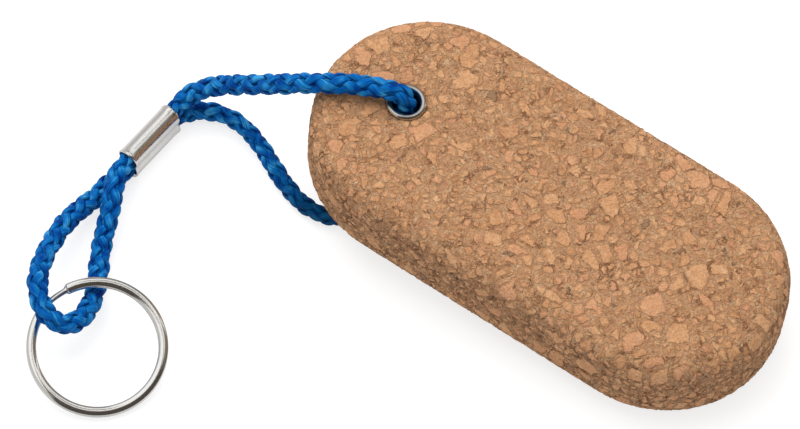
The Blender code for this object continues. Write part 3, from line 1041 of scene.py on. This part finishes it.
def stage_plane(name, size, material):
    """A level square sheet that belongs to the studio."""
    half = size / 2
    corners = [(-half, -half, 0), (half, -half, 0), (half, half, 0), (-half, half, 0)]
    sheet = mesh_object(name, np.array(corners), np.array([(0, 1, 2, 3)]))
    sheet.data.materials.append(material)


stage_plane("floor", FLOOR_SIZE, floor_material())
print("floor", FLOOR_SIZE, "m wide")

# %% Air and lamp
AIR_STRENGTH = 0.64


def white_air():
    """World that lights softly, and that the camera and the metal see as white."""
    world = bpy.data.worlds.new("white air")
    bpy.context.scene.world = world
    world.use_nodes = True
    light = world.node_tree.nodes["Background"]
    seen, _ = seen_directly_or_mirrored(world.node_tree)
    strength = scaled(world.node_tree, seen, 1.0 - AIR_STRENGTH, AIR_STRENGTH)
    world.node_tree.links.new(strength, light.inputs["Strength"])
    light.inputs["Color"].default_value = (1.0, 1.0, 1.0, 1.0)


def lamp(name, size, power, place, aim):
    """A square soft lamp, which the metal doesn't mirror."""
    data = bpy.data.lights.new(name, "AREA")
    data.shape = "SQUARE"
    data.size = size
    data.energy = power
    item = bpy.data.objects.new(name, data)
    item.location = place
    item.rotation_euler = (Vector(aim) - Vector(place)).to_track_quat("-Z", "Y").to_euler()
    item.visible_glossy = False
    bpy.context.scene.collection.objects.link(item)


white_air()
lamp("overhead lamp", size=0.8, power=7.0, place=(-0.12, 0.30, 0.75), aim=(0.0, 0.0, 0.0))
print("air of strength", AIR_STRENGTH, "and one lamp")

# %% [markdown]
# ## Screens that only the metal sees
# Bright metal shows what stands round it, and a real studio isn't white all round. Grey, brown and dark
# curved screens stand about a metre away, where only mirrored light finds them. They give the wire, the
# sleeve and the eyelets their bands. Each is given by the bearings and the heights that it fills, as seen
# from the object.

# %% Screens
SCREEN_DISTANCE = 0.95
SCREEN_COLUMNS = 25
SCREEN_ROWS = 9
SCREENS = [
    ("dark screen at the front", (-128, -20), (0.5, 66), (0.075, 0.064, 0.056)),
    ("dark screen above the front", (-128, -32), (66, 76.5), (0.085, 0.074, 0.066)),
    ("olive screen at the right", (-20, 16), (28, 64), (0.20, 0.178, 0.135)),
    ("dark screen at the right", (-20, 16), (0.5, 28), (0.090, 0.072, 0.060)),
    ("brown screen at the back right", (24, 62), (0.5, 56), (0.24, 0.205, 0.175)),
    ("grey screen at the back", (62, 104), (0.5, 52), (0.28, 0.26, 0.24)),
    ("grey screen overhead", (20, 112), (69, 83), (0.26, 0.245, 0.225)),
    ("grey screen at the left", (104, 172), (0.5, 44), (0.50, 0.49, 0.48)),
    ("pale screen at the left", (172, 232), (0.5, 50), (0.58, 0.57, 0.55)),
    ("dark square overhead", (-76, -28), (78.3, 85.2), (0.13, 0.115, 0.10)),
]


def screen_material(name, tone):
    """One tone, which doesn't depend on the lamp."""
    made, _, shader = new_material(name, (0.0, 0.0, 0.0), 1.0)
    shader.inputs["Specular IOR Level"].default_value = 0.0
    shader.inputs["Emission Color"].default_value = (*tone, 1.0)
    shader.inputs["Emission Strength"].default_value = 1.0
    return made


def screen(name, bearings, heights, tone):
    """A curved sheet between two bearings and two heights in degrees; only reflections see it."""
    turned = np.radians(np.linspace(*bearings, SCREEN_COLUMNS))[None, :]
    raised = np.radians(np.linspace(*heights, SCREEN_ROWS))[:, None]
    level = np.cos(raised)
    rows = np.broadcast_arrays(level * np.cos(turned), level * np.sin(turned), np.sin(raised))
    points = SCREEN_DISTANCE * np.stack(rows, axis=-1).reshape(-1, 3)
    low = np.arange(SCREEN_COLUMNS - 1)[None, :] + SCREEN_COLUMNS * np.arange(SCREEN_ROWS - 1)[:, None]
    high = low + SCREEN_COLUMNS
    faces = np.stack([low, low + 1, high + 1, high], axis=-1).reshape(-1, 4)
    sheet = mesh_object(name, points, faces)
    sheet.data.materials.append(screen_material(name, tone))
    sheet.visible_camera = False
    sheet.visible_diffuse = False
    sheet.visible_transmission = False
    sheet.visible_shadow = False


for row in SCREENS:
    screen(*row)
print(len(SCREENS), "screens round the studio")

# %% [markdown]
# ## The end
# The view transform is set to Standard, so that colours show as they are written.

# %% Finish
bpy.context.scene.view_settings.view_transform = "Standard"
